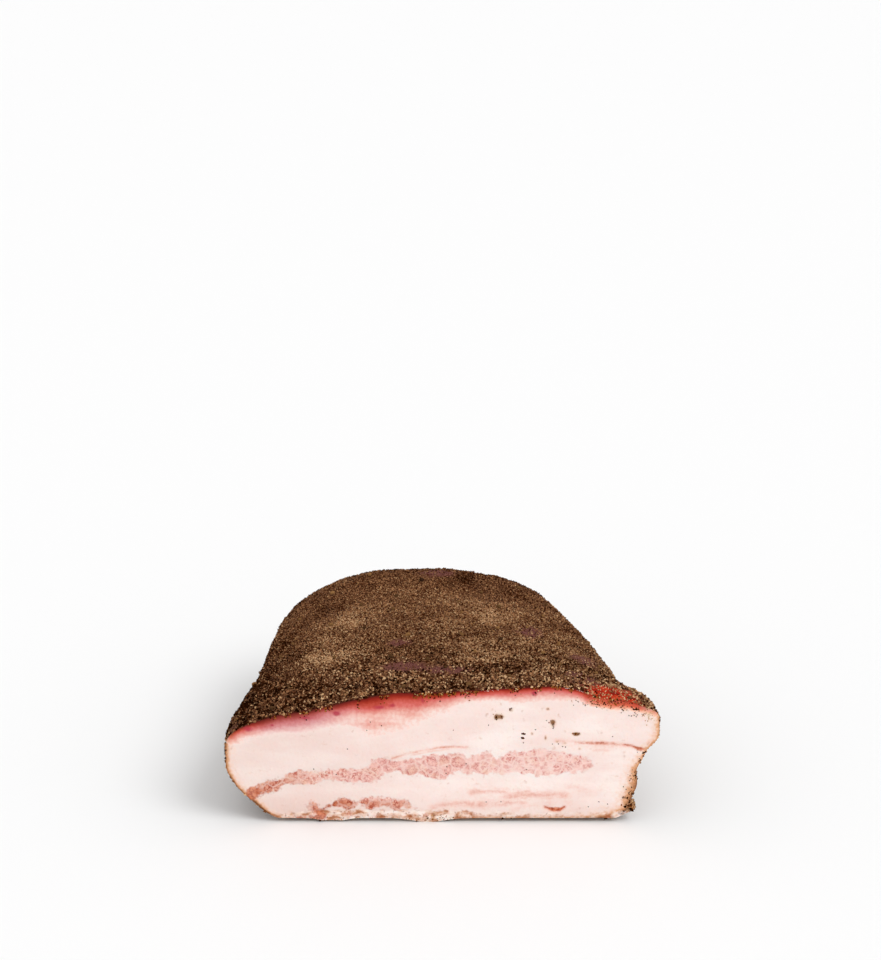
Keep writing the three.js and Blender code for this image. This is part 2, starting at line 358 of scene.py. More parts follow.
def mesh_object(name, points, faces, materials, which=None, smooth=True, attributes=None):
    """A piece from points in own millimetres, with a value of each attribute for every point."""
    mesh = bpy.data.meshes.new(name)
    mesh.from_pydata(in_frame(points).tolist(), [], [list(map(int, face)) for face in faces])
    for material in materials:
        mesh.materials.append(material)
    if which is not None:
        mesh.polygons.foreach_set("material_index", np.asarray(which, np.int32))
    mesh.polygons.foreach_set("use_smooth", np.full(len(mesh.polygons), smooth))
    for key, values in (attributes or {}).items():
        mesh.attributes.new(key, "FLOAT", "POINT").data.foreach_set("value", np.asarray(values, np.float32))
    mesh.update()
    piece = placed(name, mesh)
    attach(piece, "root")
    return piece


def tint(code):
    """A colour as written in sRGB hex, made linear."""
    parts = [int(code[i : i + 2], 16) / 255 for i in (0, 2, 4)]
    return tuple(c / 12.92 if c < 0.04045 else ((c + 0.055) / 1.055) ** 2.4 for c in parts) + (1,)


class Material:
    """A material whose nodes are added by short calls."""

    def __init__(self, name, roughness=0.5):
        self.data = bpy.data.materials.new(name)
        self.data.use_nodes = True
        self.tree = self.data.node_tree
        self.shader = self.tree.nodes["Principled BSDF"]
        self.shader.inputs["Roughness"].default_value = roughness
        self.place = self.node("ShaderNodeTexCoord").outputs["Object"]

    def plug(self, socket, value):
        if isinstance(value, bpy.types.NodeSocket):
            self.tree.links.new(value, socket)
        else:
            socket.default_value = value

    def node(self, kind, inputs=None, **settings):
        made = self.tree.nodes.new(kind)
        for key, value in settings.items():
            setattr(made, key, value)
        for key, value in (inputs or {}).items():
            self.plug(made.inputs[key], value)
        return made

    def attribute(self, name):
        return self.node("ShaderNodeAttribute", attribute_name=name).outputs["Fac"]

    def noise(self, size, detail=2.0, place=None):
        inputs = {"Vector": place or self.place, "Scale": 1000 / size, "Detail": detail}
        return self.node("ShaderNodeTexNoise", inputs).outputs["Fac"]

    def cells(self, size, feature="F1", place=None):
        inputs = {"Vector": place or self.place, "Scale": 1000 / size}
        return self.node("ShaderNodeTexVoronoi", inputs, feature=feature).outputs["Distance"]

    def math(self, operation, a, b=0.0, c=0.0):
        made = self.node("ShaderNodeMath", operation=operation)
        for socket, value in zip(made.inputs, (a, b, c)):
            self.plug(socket, value)
        return made.outputs[0]

    def remap(self, value, low, high, to_low=0.0, to_high=1.0, smooth=True):
        kind = "SMOOTHSTEP" if smooth else "LINEAR"
        inputs = {"Value": value, "From Min": low, "From Max": high, "To Min": to_low, "To Max": to_high}
        return self.node("ShaderNodeMapRange", inputs, interpolation_type=kind).outputs["Result"]

    def mix(self, share, a, b, blend="MIX"):
        made = self.node("ShaderNodeMix", data_type="RGBA", blend_type=blend)
        for socket, value in zip((made.inputs[0], made.inputs[6], made.inputs[7]), (share, a, b)):
            self.plug(socket, value)
        return made.outputs[2]

    def jittered(self, value, size, amount, detail=2.0, place=None):
        """The value, moved up or down by noise."""
        moved = self.math("MULTIPLY_ADD", self.noise(size, detail, place), amount, -amount / 2)
        return self.math("ADD", value, moved)

    def mask(self, name, size, amount, low, high, most=1.0, detail=2.0, place=None):
        """Where an attribute is high, with an edge that noise makes ragged."""
        value = self.jittered(self.attribute(name), size, amount, detail, place)
        return self.remap(value, low, high, 0.0, most)

    def stretched(self, x, y, z):
        return self.node("ShaderNodeMapping", {"Vector": self.place, "Scale": (x, y, z)}).outputs["Vector"]

    def ramp(self, value, *stops):
        """A colour from stops of place and sRGB hex."""
        made = self.node("ShaderNodeValToRGB", {"Fac": value})
        elements = made.color_ramp.elements
        while len(elements) < len(stops):
            elements.new(1)
        for element, (place, code) in zip(elements, stops):
            element.position = place
            element.color = tint(code)
        return made.outputs["Color"]

    def bump(self, height, depth, before=None):
        inputs = {"Height": height, "Distance": depth / 1000, "Strength": 1.0}
        made = self.node("ShaderNodeBump", inputs)
        if before is not None:
            self.plug(made.inputs["Normal"], before)
        return made.outputs["Normal"]

    def finish(self, colour, normal=None, **sockets):
        self.plug(self.shader.inputs["Base Color"], colour)
        if normal is not None:
            self.plug(self.shader.inputs["Normal"], normal)
        for key, value in sockets.items():
            self.plug(self.shader.inputs[key.replace("_", " ")], value)
        return self.data


# Looks

# Colours of the flush from the crust inwards, at the stops of how deep it goes
FLUSH_STOPS = (0, 0.07, 0.14, 0.21, 0.29, 0.36, 0.46, 0.57, 0.71, 0.89, 1)
FLUSH_PINK = "5a1206 862f24 a84a44 bf6563 ce7f7f d69393 e0aaa8 e8bbb6 eecbc6 f2d9d2 f4ded7"
FLUSH_RED = "620a00 881907 a7301c c04a3a d15f55 da736b e08d82 e8a599 f0c0b4 f6d8cf f8e2db"


def cut_material():
    """Fat and its flush under the crust, streaks of lean, marks and stains, by attributes of the cut."""
    m = Material("cut_fat_and_lean", roughness=0.5)
    along = m.stretched(0.35, 1, 1)
    swirls = m.node("ShaderNodeTexNoise", {"Vector": m.place, "Scale": 800.0}).outputs["Color"]
    inputs = {0: swirls, 1: (0.0012, 0.0012, 0.0012), 2: m.place}
    warped = m.node("ShaderNodeVectorMath", inputs, operation="MULTIPLY_ADD").outputs["Vector"]

    # Fat, with painted shade that makes it darker to the left and low down
    colour = m.ramp(m.remap(m.noise(9, 3, along), 0.3, 0.7), (0, "f4ded7"), (1, "faebe5"))
    colour = m.mix(m.remap(m.noise(1.1), 0.5, 0.75, 0.0, 0.1), colour, tint("eab6a8"))
    colour = m.mix(m.attribute("shade"), colour, tint("ddbfb3"))

    # The tan of the rims
    stain = m.jittered(m.attribute("stain"), 1.6, 0.6, 3)
    tan = m.ramp(m.remap(stain, 0.1, 1.2), (0, "f5d3bf"), (0.35, "e2ab84"), (0.7, "bd8156"), (1, "7d4f30"))
    colour = m.mix(m.remap(stain, 0.08, 0.6), colour, tan)

    # Lumps of the underside that show at the lower edge, with painted shade, brown, in the hollows between
    # them
    mottle = m.remap(m.noise(3.6, 3, m.stretched(0.65, 1, 1)), 0.33, 0.66)
    lump_and_painted_shade = m.ramp(mottle, (0, "b06c48"), (0.2, "cf9a7b"), (0.45, "e8c5b1"), (0.75, "f4ddd0"), (1, "f8eae2"))
    lump_and_painted_shade = m.mix(m.remap(m.noise(1.3), 0.56, 0.7, 0.0, 0.6), lump_and_painted_shade, tint("9a5a3a"))
    colour = m.mix(m.mask("lumps", 2.5, 1.0, 0.1, 0.5), colour, lump_and_painted_shade)

    # Faint marbling and lines
    curls = m.math("ABSOLUTE", m.math("SUBTRACT", m.noise(1.7, 1, warped), 0.5))
    fine = m.math("ABSOLUTE", m.math("SUBTRACT", m.noise(0.9, 1), 0.48))
    strand = m.math("MAXIMUM", m.remap(curls, 0.01, 0.11, 1.0, 0.0), m.remap(fine, 0.01, 0.08, 0.55, 0.0))
    broken = m.remap(m.noise(3, 3, along), 0.32, 0.62, 0.2, 0.9)
    broken = m.math("MULTIPLY_ADD", strand, 0.2, broken)
    faint = m.math("MULTIPLY", m.jittered(m.attribute("faint"), 1.1, 0.35, 3), broken)
    faint = m.remap(faint, 0.04, 0.95, smooth=False)
    colour = m.mix(faint, colour, m.ramp(faint, (0.1, "eeb09a"), (0.5, "df8f74"), (0.9, "bf5d38")))

    # The flush under the crust: pink, red where it is strongest, and orange at the right end
    under = m.math("MULTIPLY", m.attribute("under"), m.remap(m.noise(8, 1.5, along), 0.3, 0.7, 0.75, 1.32))
    under = m.math("MULTIPLY", under, m.remap(m.noise(1.5), 0.3, 0.7, 0.9, 1.1))
    pink = m.ramp(under, *zip(FLUSH_STOPS, FLUSH_PINK.split()))
    red = m.ramp(under, *zip(FLUSH_STOPS, FLUSH_RED.split()))
    orange = m.ramp(
        under, (0, "a83622"), (0.14, "c4513b"), (0.29, "c8563c"), (0.43, "dc6c50"), (0.57, "ec9376"),
        (0.7, "f5b49b"), (0.85, "fad0bc"), (1, "fae0d5"),
    )
    flush = m.mix(m.attribute("warmth"), pink, red)
    flush = m.mix(m.math("SUBTRACT", m.attribute("warmth"), 1.0), flush, orange)
    share = m.math("MULTIPLY", m.attribute("blush"), m.remap(under, 1.15, 0.85))
    colour = m.mix(share, colour, flush)
    colour = m.mix(m.mask("spot", 1.3, 0.5, 0.15, 0.85, 0.8), colour, tint("b02c44"))

    # Lean: curls of muscle in rounded bundles, paler between them
    bundle = m.cells(2.3, place=warped)
    gaps = m.remap(m.cells(4.6, "DISTANCE_TO_EDGE", place=warped), 0.0, 0.14, 1.0, 0.0)
    ragged = m.math("ADD", m.attribute("lean"), m.math("MULTIPLY_ADD", bundle, -1.8, 0.85))
    inside_lean = m.remap(m.jittered(m.jittered(ragged, 4, 2.5, 1), 1.2, 1.8), -0.7, 0.7)
    lobe = m.cells(4.6, place=warped)
    winding = m.math("MULTIPLY_ADD", m.noise(1.5, 2, warped), 3.0, m.math("MULTIPLY", lobe, 1.8))
    turns = m.math("FRACT", winding)
    curled = m.remap(m.math("ABSOLUTE", m.math("SUBTRACT", turns, 0.5)), 0.05, 0.32, 0.8, 0.0)
    curled = m.math("MAXIMUM", curled, m.remap(lobe, 0.3, 0.6, 0.0, 0.4))
    right = m.remap(m.attribute("hue"), 0.0, 0.4, 0.8, 0.0)
    strand = m.math("MULTIPLY", strand, m.math("SUBTRACT", 1.0, right))
    strand = m.math("MULTIPLY_ADD", curled, right, strand)
    share = m.math("MULTIPLY", strand, m.remap(m.noise(3.6), 0.36, 0.62, 0.35, 1.1))
    pale = m.ramp(
        m.attribute("hue"), (0, "f7d3c9"), (0.15, "f3c5ba"), (0.5, "f5ccbf"), (0.8, "da937a"), (1, "c66c48")
    )
    pale = m.mix(m.remap(m.noise(4.5), 0.48, 0.7, 0.0, 0.4), pale, tint("ecc8aa"))
    meat = m.ramp(
        m.attribute("hue"), (0, "ce7d76"), (0.15, "c46e68"), (0.5, "cb786a"), (0.8, "ac4c33"), (1, "8c3114")
    )
    flesh = m.mix(m.math("MULTIPLY", gaps, 0.7), m.mix(share, pale, meat), m.mix(0.5, colour, pale))
    colour = m.mix(inside_lean, colour, flesh)

    # Smears of red-brown and the olive stains round specks
    smear = m.remap(m.jittered(m.jittered(m.attribute("smear"), 3, 1.0), 1, 0.9), 0.3, 0.95, 0.0, 0.9)
    colour = m.mix(smear, colour, m.ramp(m.noise(1.2, 3), (0.35, "a84526"), (0.65, "dc8a66")))
    olive = m.mask("olive", 0.8, 0.3, 0.05, 1.1, 0.92)
    colour = m.mix(olive, colour, m.ramp(olive, (0.05, "eebf96"), (0.4, "c8966a"), (0.8, "8c5c2e")))

    lumps = m.bump(m.noise(1.4), 0.1)
    normal = m.bump(m.math("MULTIPLY", inside_lean, strand), -0.08, lumps)
    return m.finish(
        colour, normal, Subsurface_Weight=0.2, Subsurface_Radius=(1.0, 0.45, 0.3), Subsurface_Scale=0.001,
        Specular_IOR_Level=0.15,
    )


def crust_material():
    """What shows between the grains of pepper: their dust on dark cured skin."""
    m = Material("pepper_crust_ground", roughness=0.8)
    dust = m.remap(m.noise(0.55), 0.3, 0.7)
    along = m.stretched(0.45, 1, 1)
    ground = m.ramp(dust, (0, "200b03"), (0.45, "4c2712"), (0.75, "7a5032"), (1, "a67a56"))
    purple = m.ramp(dust, (0, "48221c"), (1, "86544a"))
    # Purple where the skin shows through the pepper, and on the left flank as painted shade
    colour = m.mix(m.mask("bare", 10, 0.8, 0.2, 0.7, 1.0, 3, along), ground, purple)
    colour = m.mix(m.mask("seam", 2.5, 0.6, 0.2, 0.8, 0.85), colour, tint("4c1208"))
    rind = m.ramp(m.remap(m.noise(3, 3), 0.3, 0.7), (0, "7d583c"), (1, "b98f68"))
    colour = m.mix(m.mask("rind", 2, 0.7, 0.3, 0.8), colour, rind)
    raw = m.ramp(m.remap(m.noise(4, 4), 0.32, 0.68), (0, "7c160a"), (0.5, "b82a10"), (1, "cc4626"))
    colour = m.mix(m.mask("raw", 1.5, 0.9, 0.15, 0.5, detail=3), colour, raw)
    normal = m.bump(dust, 0.2, m.bump(m.cells(1.1), 0.35))
    return m.finish(colour, normal, Specular_IOR_Level=0.05)


def pepper_material(name, dark, light, roughness=0.7):
    m = Material(name, roughness)
    speckle = m.remap(m.noise(0.35), 0.3, 0.7)
    colour = m.ramp(m.attribute("tone"), (0, dark), (1, light))
    colour = m.mix(m.math("MULTIPLY", speckle, 0.35), colour, tint("381905"))
    return m.finish(colour, m.bump(speckle, 0.05), Specular_IOR_Level=0.0)


# The cut face

# The flush under the crust, by place across: how deep it goes, how strong it is, and how orange. It starts
# at the edge of the cut that is higher and farther left than these.
FLUSH_ABOVE = 41
FLUSH_LEFT_OF = 88
FLUSH_DEPTH = [
    (-90, 3.5), (-84, 5), (-76, 8.8), (-63, 10.2), (-40, 12), (-25, 16.5), (-12, 15), (-4, 10), (8, 7.6),
    (20, 5.8), (33, 5.1), (46, 4.9), (58, 5.5), (66, 5.6), (78, 4), (84, 2.4), (90, 1.5),
]
FLUSH_STRENGTH = [(-90, 0.6), (-84, 0.95), (-60, 1), (80, 1), (86, 0.6), (90, 0.3)]
FLUSH_WARMTH = [
    (-90, 1.5), (-80, 0.8), (-70, 0), (-52, 0), (-40, 0.6), (-30, 1), (40, 0.9), (56, 1), (66, 2), (90, 2),
]

# Marks on the cut. A line is its places across and up, its width, its strength and how deep it is cut in.
# The others are swellings of a colour: place across and up, how far they reach both ways, and strength.
LINES = [
    ([(-21, 30.1), (-14.7, 32.2), (-2, 35.1), (4.4, 35.5), (10.5, 35.1)], 0.7, 0.65, 0.1),
    ([(-13, 31.6), (-4, 33.6), (3, 34.2)], 0.5, 0.4, 0),
    ([(47, 38.4), (54.2, 37.8), (58, 37.3), (63, 37)], 1.1, 0.4, 0),
    ([(55, 37.4), (60, 37.3), (66, 37.1), (71, 36.6), (76.5, 36.2)], 1.0, 0.85, 0.1),
    ([(75, 36.3), (78, 36), (80.2, 35), (83.8, 34.2)], 0.8, 0.95, 0.35),
    ([(50, 36.6), (57, 36), (64, 35.8), (70, 35.6)], 1.8, 0.25, 0),
    ([(63, 34), (68.2, 33.7)], 1.2, 0.35, 0),
    ([(12, 14.2), (17.2, 15.2), (23.5, 15), (30, 14.4), (36, 15.1)], 1.6, 0.5, 0),
    ([(-4, 7.4), (2.5, 8.8), (8.2, 9.2), (13, 8.5)], 1.8, 0.5, 0),
    ([(16, 9.2), (25, 10), (30, 10.8), (34, 10.8)], 2.5, 0.65, 0),
    ([(26.5, 12), (33, 12.8), (39.5, 13.1), (44, 12.5), (51.5, 12.8)], 2.4, 0.5, 0),
    ([(53, 16.1), (58, 15.8), (66, 15.9)], 1.8, 0.3, 0),
    ([(30, 6.5), (40, 8.6), (52, 10)], 2.2, 0.25, 0),
    ([(42.4, 7.5), (45, 6.3), (47.3, 5.8), (49.4, 6.2), (51, 7.4)], 0.8, 1.0, 0.4),
]
RED_SPOTS = [
    (-80.3, 43.6, 2.2, 1.2, 0.9), (-70.4, 45.4, 0.9, 0.7, 0.9), (-56.5, 48.8, 3.4, 0.9, 0.75),
    (-43.7, 50.8, 1.8, 1.2, 1.1), (-26, 53.6, 3, 1.1, 0.8), (-20.6, 54.6, 1.4, 1.1, 0.8),
    (-8.2, 56.8, 0.8, 1.3, 0.8), (37.8, 60, 1.3, 1.2, 1.1),
]
SMEARS = [
    (-79.5, 13.5, 2.6, 3.4, 1.4), (-75, 15, 4, 3, 0.6), (-54.5, 7.5, 3.6, 3.4, 0.85),
    (-51, 3, 3, 2.6, 1.0), (-60, 2, 9, 1.2, 0.75), (-39, 4, 4, 2.5, 0.6), (-7, 3, 3, 2.5, 0.6),
    (47, 6.3, 2.4, 0.9, 1.8), (81.5, 34.6, 2.5, 1.2, 0.8),
]
OLIVE_SPOTS = [
    (23.2, 49.4, 2.6, 1.8, 0.5), (22.1, 49.1, 0.6, 1.1, 0.7), (24.2, 49.3, 0.7, 0.6, 0.6),
    (28.2, 52.5, 1.3, 1.3, 0.45), (43.4, 52.9, 0.9, 0.8, 1), (45.6, 46.4, 1.8, 2.1, 0.45),
    (45.5, 47.1, 0.9, 0.8, 0.9), (55.3, 41.4, 1.6, 0.9, 1), (42.6, 39.7, 0.6, 1.3, 1),
    (37, 41.6, 0.7, 0.9, 0.85), (47.5, 37.8, 0.9, 0.7, 0.7), (50.8, 37.2, 0.9, 0.7, 0.6),
    (56.8, 34.5, 0.9, 0.7, 0.7),
]
UNDERSIDE_LUMPS = [(-74, 0.2), (-62, 0.5), (-50, 1), (-10, 1), (4, 0.9), (12, 0.5), (50, 0.3), (74, 0.4)]
NUB = (79.5, 6.3, 2.6, 2.6, 1)

# Tan along the rim of the cut: its strength and width, the two places across between which it sets in, the
# height under which it lies, and over how much it fades in there
RIMS = [
    dict(strength=0.55, wide=0.8, across=(-60, -82), under=46, over=4),
    dict(strength=0.5, wide=3.5, across=(-60, -82), under=46, over=4),
    dict(strength=0.7, wide=3, across=(62, 76), under=58, over=10),
    dict(strength=0.8, wide=1.1, across=(-2 * WIDTH, -WIDTH), under=14, over=6),
    dict(strength=0.4, wide=7, across=(45, 75), under=34, over=20),
]

# Groups of specks on the cut: place across and up, how far they spread both ways, how many and how large
SPECKS = {
    "cut_specks_black": [
        (28.2, 52.5, 0.35, 0.45, 5, 0.5), (22.1, 49.1, 0.25, 0.6, 5, 0.45), (24.2, 49.3, 0.3, 0.3, 3, 0.5),
        (33.6, 41.5, 0.35, 0.08, 8, 0.62), (33.1, 39.6, 0.3, 0.12, 7, 0.62),
        (33.4, 37.6, 0.15, 0.15, 2, 0.45), (55.4, 41.2, 0.8, 0.35, 6, 0.42),
        (45.7, 45.1, 0.3, 0.9, 7, 0.38), (61.5, 56.2, 0.35, 0.8, 5, 0.45), (64.2, 54.9, 0.5, 0.6, 5, 0.42),
        (66.7, 55.4, 0.45, 0.4, 7, 0.5), (69.7, 56.1, 0.5, 0.25, 6, 0.5), (73.7, 54, 0.5, 0.6, 7, 0.45),
        (75, 52, 0.9, 0.4, 6, 0.42), (79.4, 52.7, 0.65, 0.25, 12, 0.6), (79.4, 50.2, 1, 0.6, 8, 0.42),
        (75.2, 57.4, 1.4, 0.6, 12, 0.55), (71, 56, 7, 2, 60, 0.3), (84.2, 32, 0.7, 1, 18, 0.65),
        (82, 30, 0.6, 0.6, 4, 0.5), (80.6, 22, 0.6, 1.2, 16, 0.55), (79.6, 20, 0.9, 1.2, 9, 0.42),
        (78.6, 14, 0.8, 1.4, 12, 0.5), (76.4, 11.8, 0.7, 0.5, 9, 0.6), (79, 8.4, 1.4, 1.2, 18, 0.6),
        (77.4, 4.6, 1.4, 0.7, 10, 0.5), (80, 18, 1.4, 9, 30, 0.28), (-5.8, 2.1, 0.5, 0.5, 5, 0.5),
    ],
    "cut_specks_brown": [
        (23.2, 49.4, 1.3, 0.9, 8, 0.32), (45.5, 47, 0.6, 0.5, 6, 0.4), (55.3, 41.4, 0.9, 0.35, 9, 0.4),
        (69, 57, 6, 1.6, 110, 0.36), (84.5, 51, 1.6, 1.6, 16, 0.35), (80.5, 19, 1, 8, 20, 0.32),
        (79, 7.2, 1.8, 1.8, 16, 0.5), (-14, 1.2, 24, 0.5, 80, 0.4), (-3, 2.2, 3, 1, 18, 0.4),
        (-62, 0.8, 8, 0.5, 26, 0.4), (50, 0.8, 14, 0.4, 26, 0.38),
    ],
    "cut_specks_gold": [
        (-3, 2.4, 3.4, 1.2, 26, 0.4), (-30, 1.4, 12, 0.6, 30, 0.35), (79, 7, 1.6, 1.6, 12, 0.4),
        (80, 15, 1.2, 5, 8, 0.3), (84.6, 51, 1.4, 1.2, 12, 0.35), (24, 1.6, 10, 0.6, 14, 0.3),
        (68, 57.4, 6, 1.3, 50, 0.34), (86, 50, 1, 2, 20, 0.4),
    ],
}

SPECK_LOOKS = {
    "cut_specks_black": ("specks_black", "1e0802", "52200c", 0.8),
    "cut_specks_brown": ("specks_brown", "64300e", "b86e30", 0.8),
    "cut_specks_gold": ("specks_gold", "c08a50", "f2cf9c", 0.6),
}
SPECK_LOWEST = 0.4

# Grains of the crust that hang over the upper edge of the cut: how many, how far to each side, and size
EDGE_GRAINS = dict(cut_specks_black=700, cut_specks_brown=700, cut_specks_gold=130)
EDGE_REACH = 88
EDGE_SIZE = (0.25, 0.6)

# Single specks, by place across and up
SINGLE_SIZE = 0.38
SINGLE_SPECKS = [
    (19, 45.5), (22.3, 48), (-29.8, 46.9), (-25.2, 45.3), (-31.3, 43.1), (33.5, 37.4), (38.4, 43.5),
    (42.9, 47.7), (45.5, 36.8), (48, 36.9), (49.8, 35.6), (50.9, 35.4), (58.8, 54.5), (76.9, 49.9),
    (1.8, 26.3), (9.8, 27.6), (1.5, 23.1), (34.9, 25), (24.4, 9.8), (18.3, 9.7), (-53.5, 25.1),
    (-44.2, 22.6), (68.9, 8.7), (65.3, 9.8), (60.9, 7.5), (75.4, 16.9), (79, 24.7), (4.5, 43.2),
    (-39.4, 34.5), (70.4, 40.2),
]

# Groups of glossy beads whose near-white colour is a painted highlight for glints: place across, how far
# under the edge, spread both ways, how many and how large
BEADS = [(20, 0.3, 5, 0.12, 12, 0.2), (54, 0.5, 4, 0.08, 22, 0.17)]


def round_the_specks(x, z):
    """A faint stain round each group of specks that lies in the fat."""
    stain = np.zeros(len(x))
    for name in ("cut_specks_black", "cut_specks_brown"):
        for across, up, wide, high, _, _ in SPECKS[name]:
            if wide < 2 and high < 2 and up > 3:
                stain += swell(x, z, across, up, wide * 1.3 + 0.3, high * 1.3 + 0.3, 0.4)
    return stain


def cut_looks(x, z, outline, loops):
    """Attributes of the cut at places across and up, each place's distance from the rim, and the grooves."""
    flat = np.stack([x, z], 1)
    ring = dense(outline, 0.3, closed=True)
    rim = nearest(flat, ring)
    upper = ring[(ring[:, 1] > FLUSH_ABOVE) & (ring[:, 0] < FLUSH_LEFT_OF)]
    faint = np.zeros(len(x))
    groove = np.zeros(len(x))
    for line, width, strength, deep in LINES:
        away = nearest(flat, dense(line))
        faint = np.maximum(faint, strength * np.exp(-((away / width) ** 2)))
        groove = np.maximum(groove, deep * np.exp(-((away / GROOVE_WIDTH) ** 2)))
    stain = swell(x, z, *NUB)
    for one in RIMS:
        tan = one["strength"] * np.exp(-rim / one["wide"]) * smoothstep(one["under"] - z, 0, one["over"])
        stain = stain + tan * smoothstep(x, *one["across"])
    lean = np.full(len(x), -float(LEAN_REACH))
    for loop in loops:
        away = nearest(flat, dense(loop, 0.25, closed=True))
        signed = np.where(inside(flat, loop), away, -away)
        lean = np.maximum(lean, np.clip(signed - LEAN_EDGE, -LEAN_REACH, LEAN_REACH))
    across_hue = 0.15 * smoothstep(-x, -26, -8) + 0.65 * smoothstep(-x, 20, 80)
    looks = dict(
        # painted shade of the fat: darker to the left and low down
        shade=0.3 * smoothstep(-x, -10, 80) + 0.35 * smoothstep(16 - z, 0, 16),
        under=nearest(flat, upper) / through(FLUSH_DEPTH)(x),
        blush=through(FLUSH_STRENGTH)(x),
        warmth=through(FLUSH_WARMTH)(x),
        spot=swells(x, z, RED_SPOTS),
        faint=faint,
        stain=stain,
        smear=swells(x, z, SMEARS),
        olive=swells(x, z, OLIVE_SPOTS) + round_the_specks(x, z),
        lumps=through(UNDERSIDE_LUMPS)(x) * smoothstep(7.5 - z, 0, 5),
        lean=lean,
        hue=np.clip(across_hue + smoothstep(14 - z, 0, 5) * 0.58, 0, 1),
    )
    return looks, rim, groove


def cut_depth(x, z, lumps, rim, groove):
    """How far behind the plane of the cut a place on it lies."""
    places = np.stack([x, np.zeros(len(x)), z], 1)
    waves = sum(height * (1 + field(places, size, 3)) for size, height in CUT_RELIEF)
    lumpy = 0.7 * lumps * np.clip(field(places, 2.4, 12) + 0.3, 0, 1)
    rounded = RIM_BACK * np.clip(1 - rim / RIM_ROUND, 0, 1) ** 2
    return CUT_BACK + np.clip(waves, 0, None) + rounded + groove + lumpy


def interior_points(outline, loops):
    """A jittered lattice inside the outline, clear of it and of the loops."""
    random = np.random.default_rng(5)
    row = CUT_MESH * math.sqrt(3) / 2
    across = np.arange(outline[:, 0].min(), outline[:, 0].max(), CUT_MESH)
    up = np.arange(outline[:, 1].min(), outline[:, 1].max(), row)
    x, z = np.meshgrid(across, up)
    x = x + CUT_MESH / 2 * (np.arange(len(up)) % 2)[:, None]
    points = np.stack([x.ravel(), z.ravel()], 1) + random.uniform(-0.1, 0.1, (x.size, 2))
    fine = []
    for places, *_ in LINES:
        line = dense(places, 0.3)
        fine += [line + (0, off) for off in (-0.6, -0.2, 0.2, 0.6)]
    fine = np.vstack(fine) + random.uniform(-0.04, 0.04, (sum(map(len, fine)), 2))
    fine = fine[nearest(fine, points) > 0.12]
    points = np.vstack([points, fine])
    points = points[inside(points, outline)]
    walls = np.vstack([dense(loop, 0.25, closed=True) for loop in [outline, *loops]])
    return points[nearest(points, walls) > CUT_MESH * 0.45]


def triangulated_cut(outline, loops):
    """Points and triangles of the cut, the index of each outline and loop point, and each triangle's region:
    0 for fat and k for the loop k."""
    rings = [outline, *loops]
    starts = np.cumsum([0] + [len(ring) for ring in rings]).tolist()
    edges = []
    for start, ring in zip(starts, rings):
        count = len(ring)
        edges += [(start + i, start + (i + 1) % count) for i in range(count)]
    every = np.vstack([*rings, interior_points(outline, loops)])
    flat, _, triangles, origins, _, _ = delaunay_2d_cdt(every.tolist(), edges, [], 0, 1e-6, True)
    flat = np.array([tuple(one) for one in flat])
    triangles = np.array(triangles)
    place_of = {first: index for index, found in enumerate(origins) for first in found}
    indices = []
    for start, ring in zip(starts, rings):
        indices.append(np.array([place_of[start + i] for i in range(len(ring))]))
    middles = flat[triangles].mean(1)
    region = np.where(inside(middles, outline), 0, -1)
    for k, loop in enumerate(loops, 1):
        region[inside(middles, loop)] = k
    return flat, triangles, indices, region


def lean_rings(loop, top, bottom, length, drift, rise, grow=0.0):
    """Rings of a lean layer behind the cut, each a loop of points."""
    middle = (top[0][0] + top[-1][0]) / 2
    level = (through(top)(loop[:, 0]) + through(bottom)(loop[:, 0])) / 2
    rings = []
    for step in range(1, LEAN_BACK + 1):
        share = step / LEAN_BACK
        kept = max(math.sqrt(1 - share**4), TAIL)
        x = middle + drift * share + (loop[:, 0] - middle) * kept
        z = level + rise * share + (loop[:, 1] - level) * kept
        ring = moved_out(np.stack([x, z], 1), grow)
        rings.append(np.insert(ring, 1, share * length, axis=1))
    return rings


def lofted(points, first, rings):
    """Adds rings behind the ring of points that has the indices first. Returns the quads between them, and
    then a cap on the last."""
    count = sum(map(len, points))
    faces = []
    for ring in rings:
        points.append(ring)
        behind = np.arange(count, count + len(ring))
        faces += list(zip(first, np.roll(first, -1), np.roll(behind, -1), behind))
        first = behind
        count += len(ring)
    return faces + [list(first)]


def piece_with_cut(name, points, faces, looks, lean_behind, materials, which=None):
    """A piece whose first points are those of the cut, without the points that no face uses."""
    points = np.vstack(points)
    behind = len(points) - len(looks["lean"])
    values = {key: np.r_[each, np.zeros(behind)] for key, each in looks.items()}
    values["lean"][-behind:] = lean_behind
    if CRUST in materials:
        values.update(crust_fields(points))
    used = np.zeros(len(points), bool)
    for face in faces:
        used[list(face)] = True
    new = np.cumsum(used) - 1
    faces = [new[list(face)] for face in faces]
    values = {key: each[used] for key, each in values.items()}
    piece = mesh_object(name, points[used], faces, materials, which, attributes=values)
    piece.data.set_sharp_from_angle(angle=math.radians(SHARP_ANGLE))
    return piece


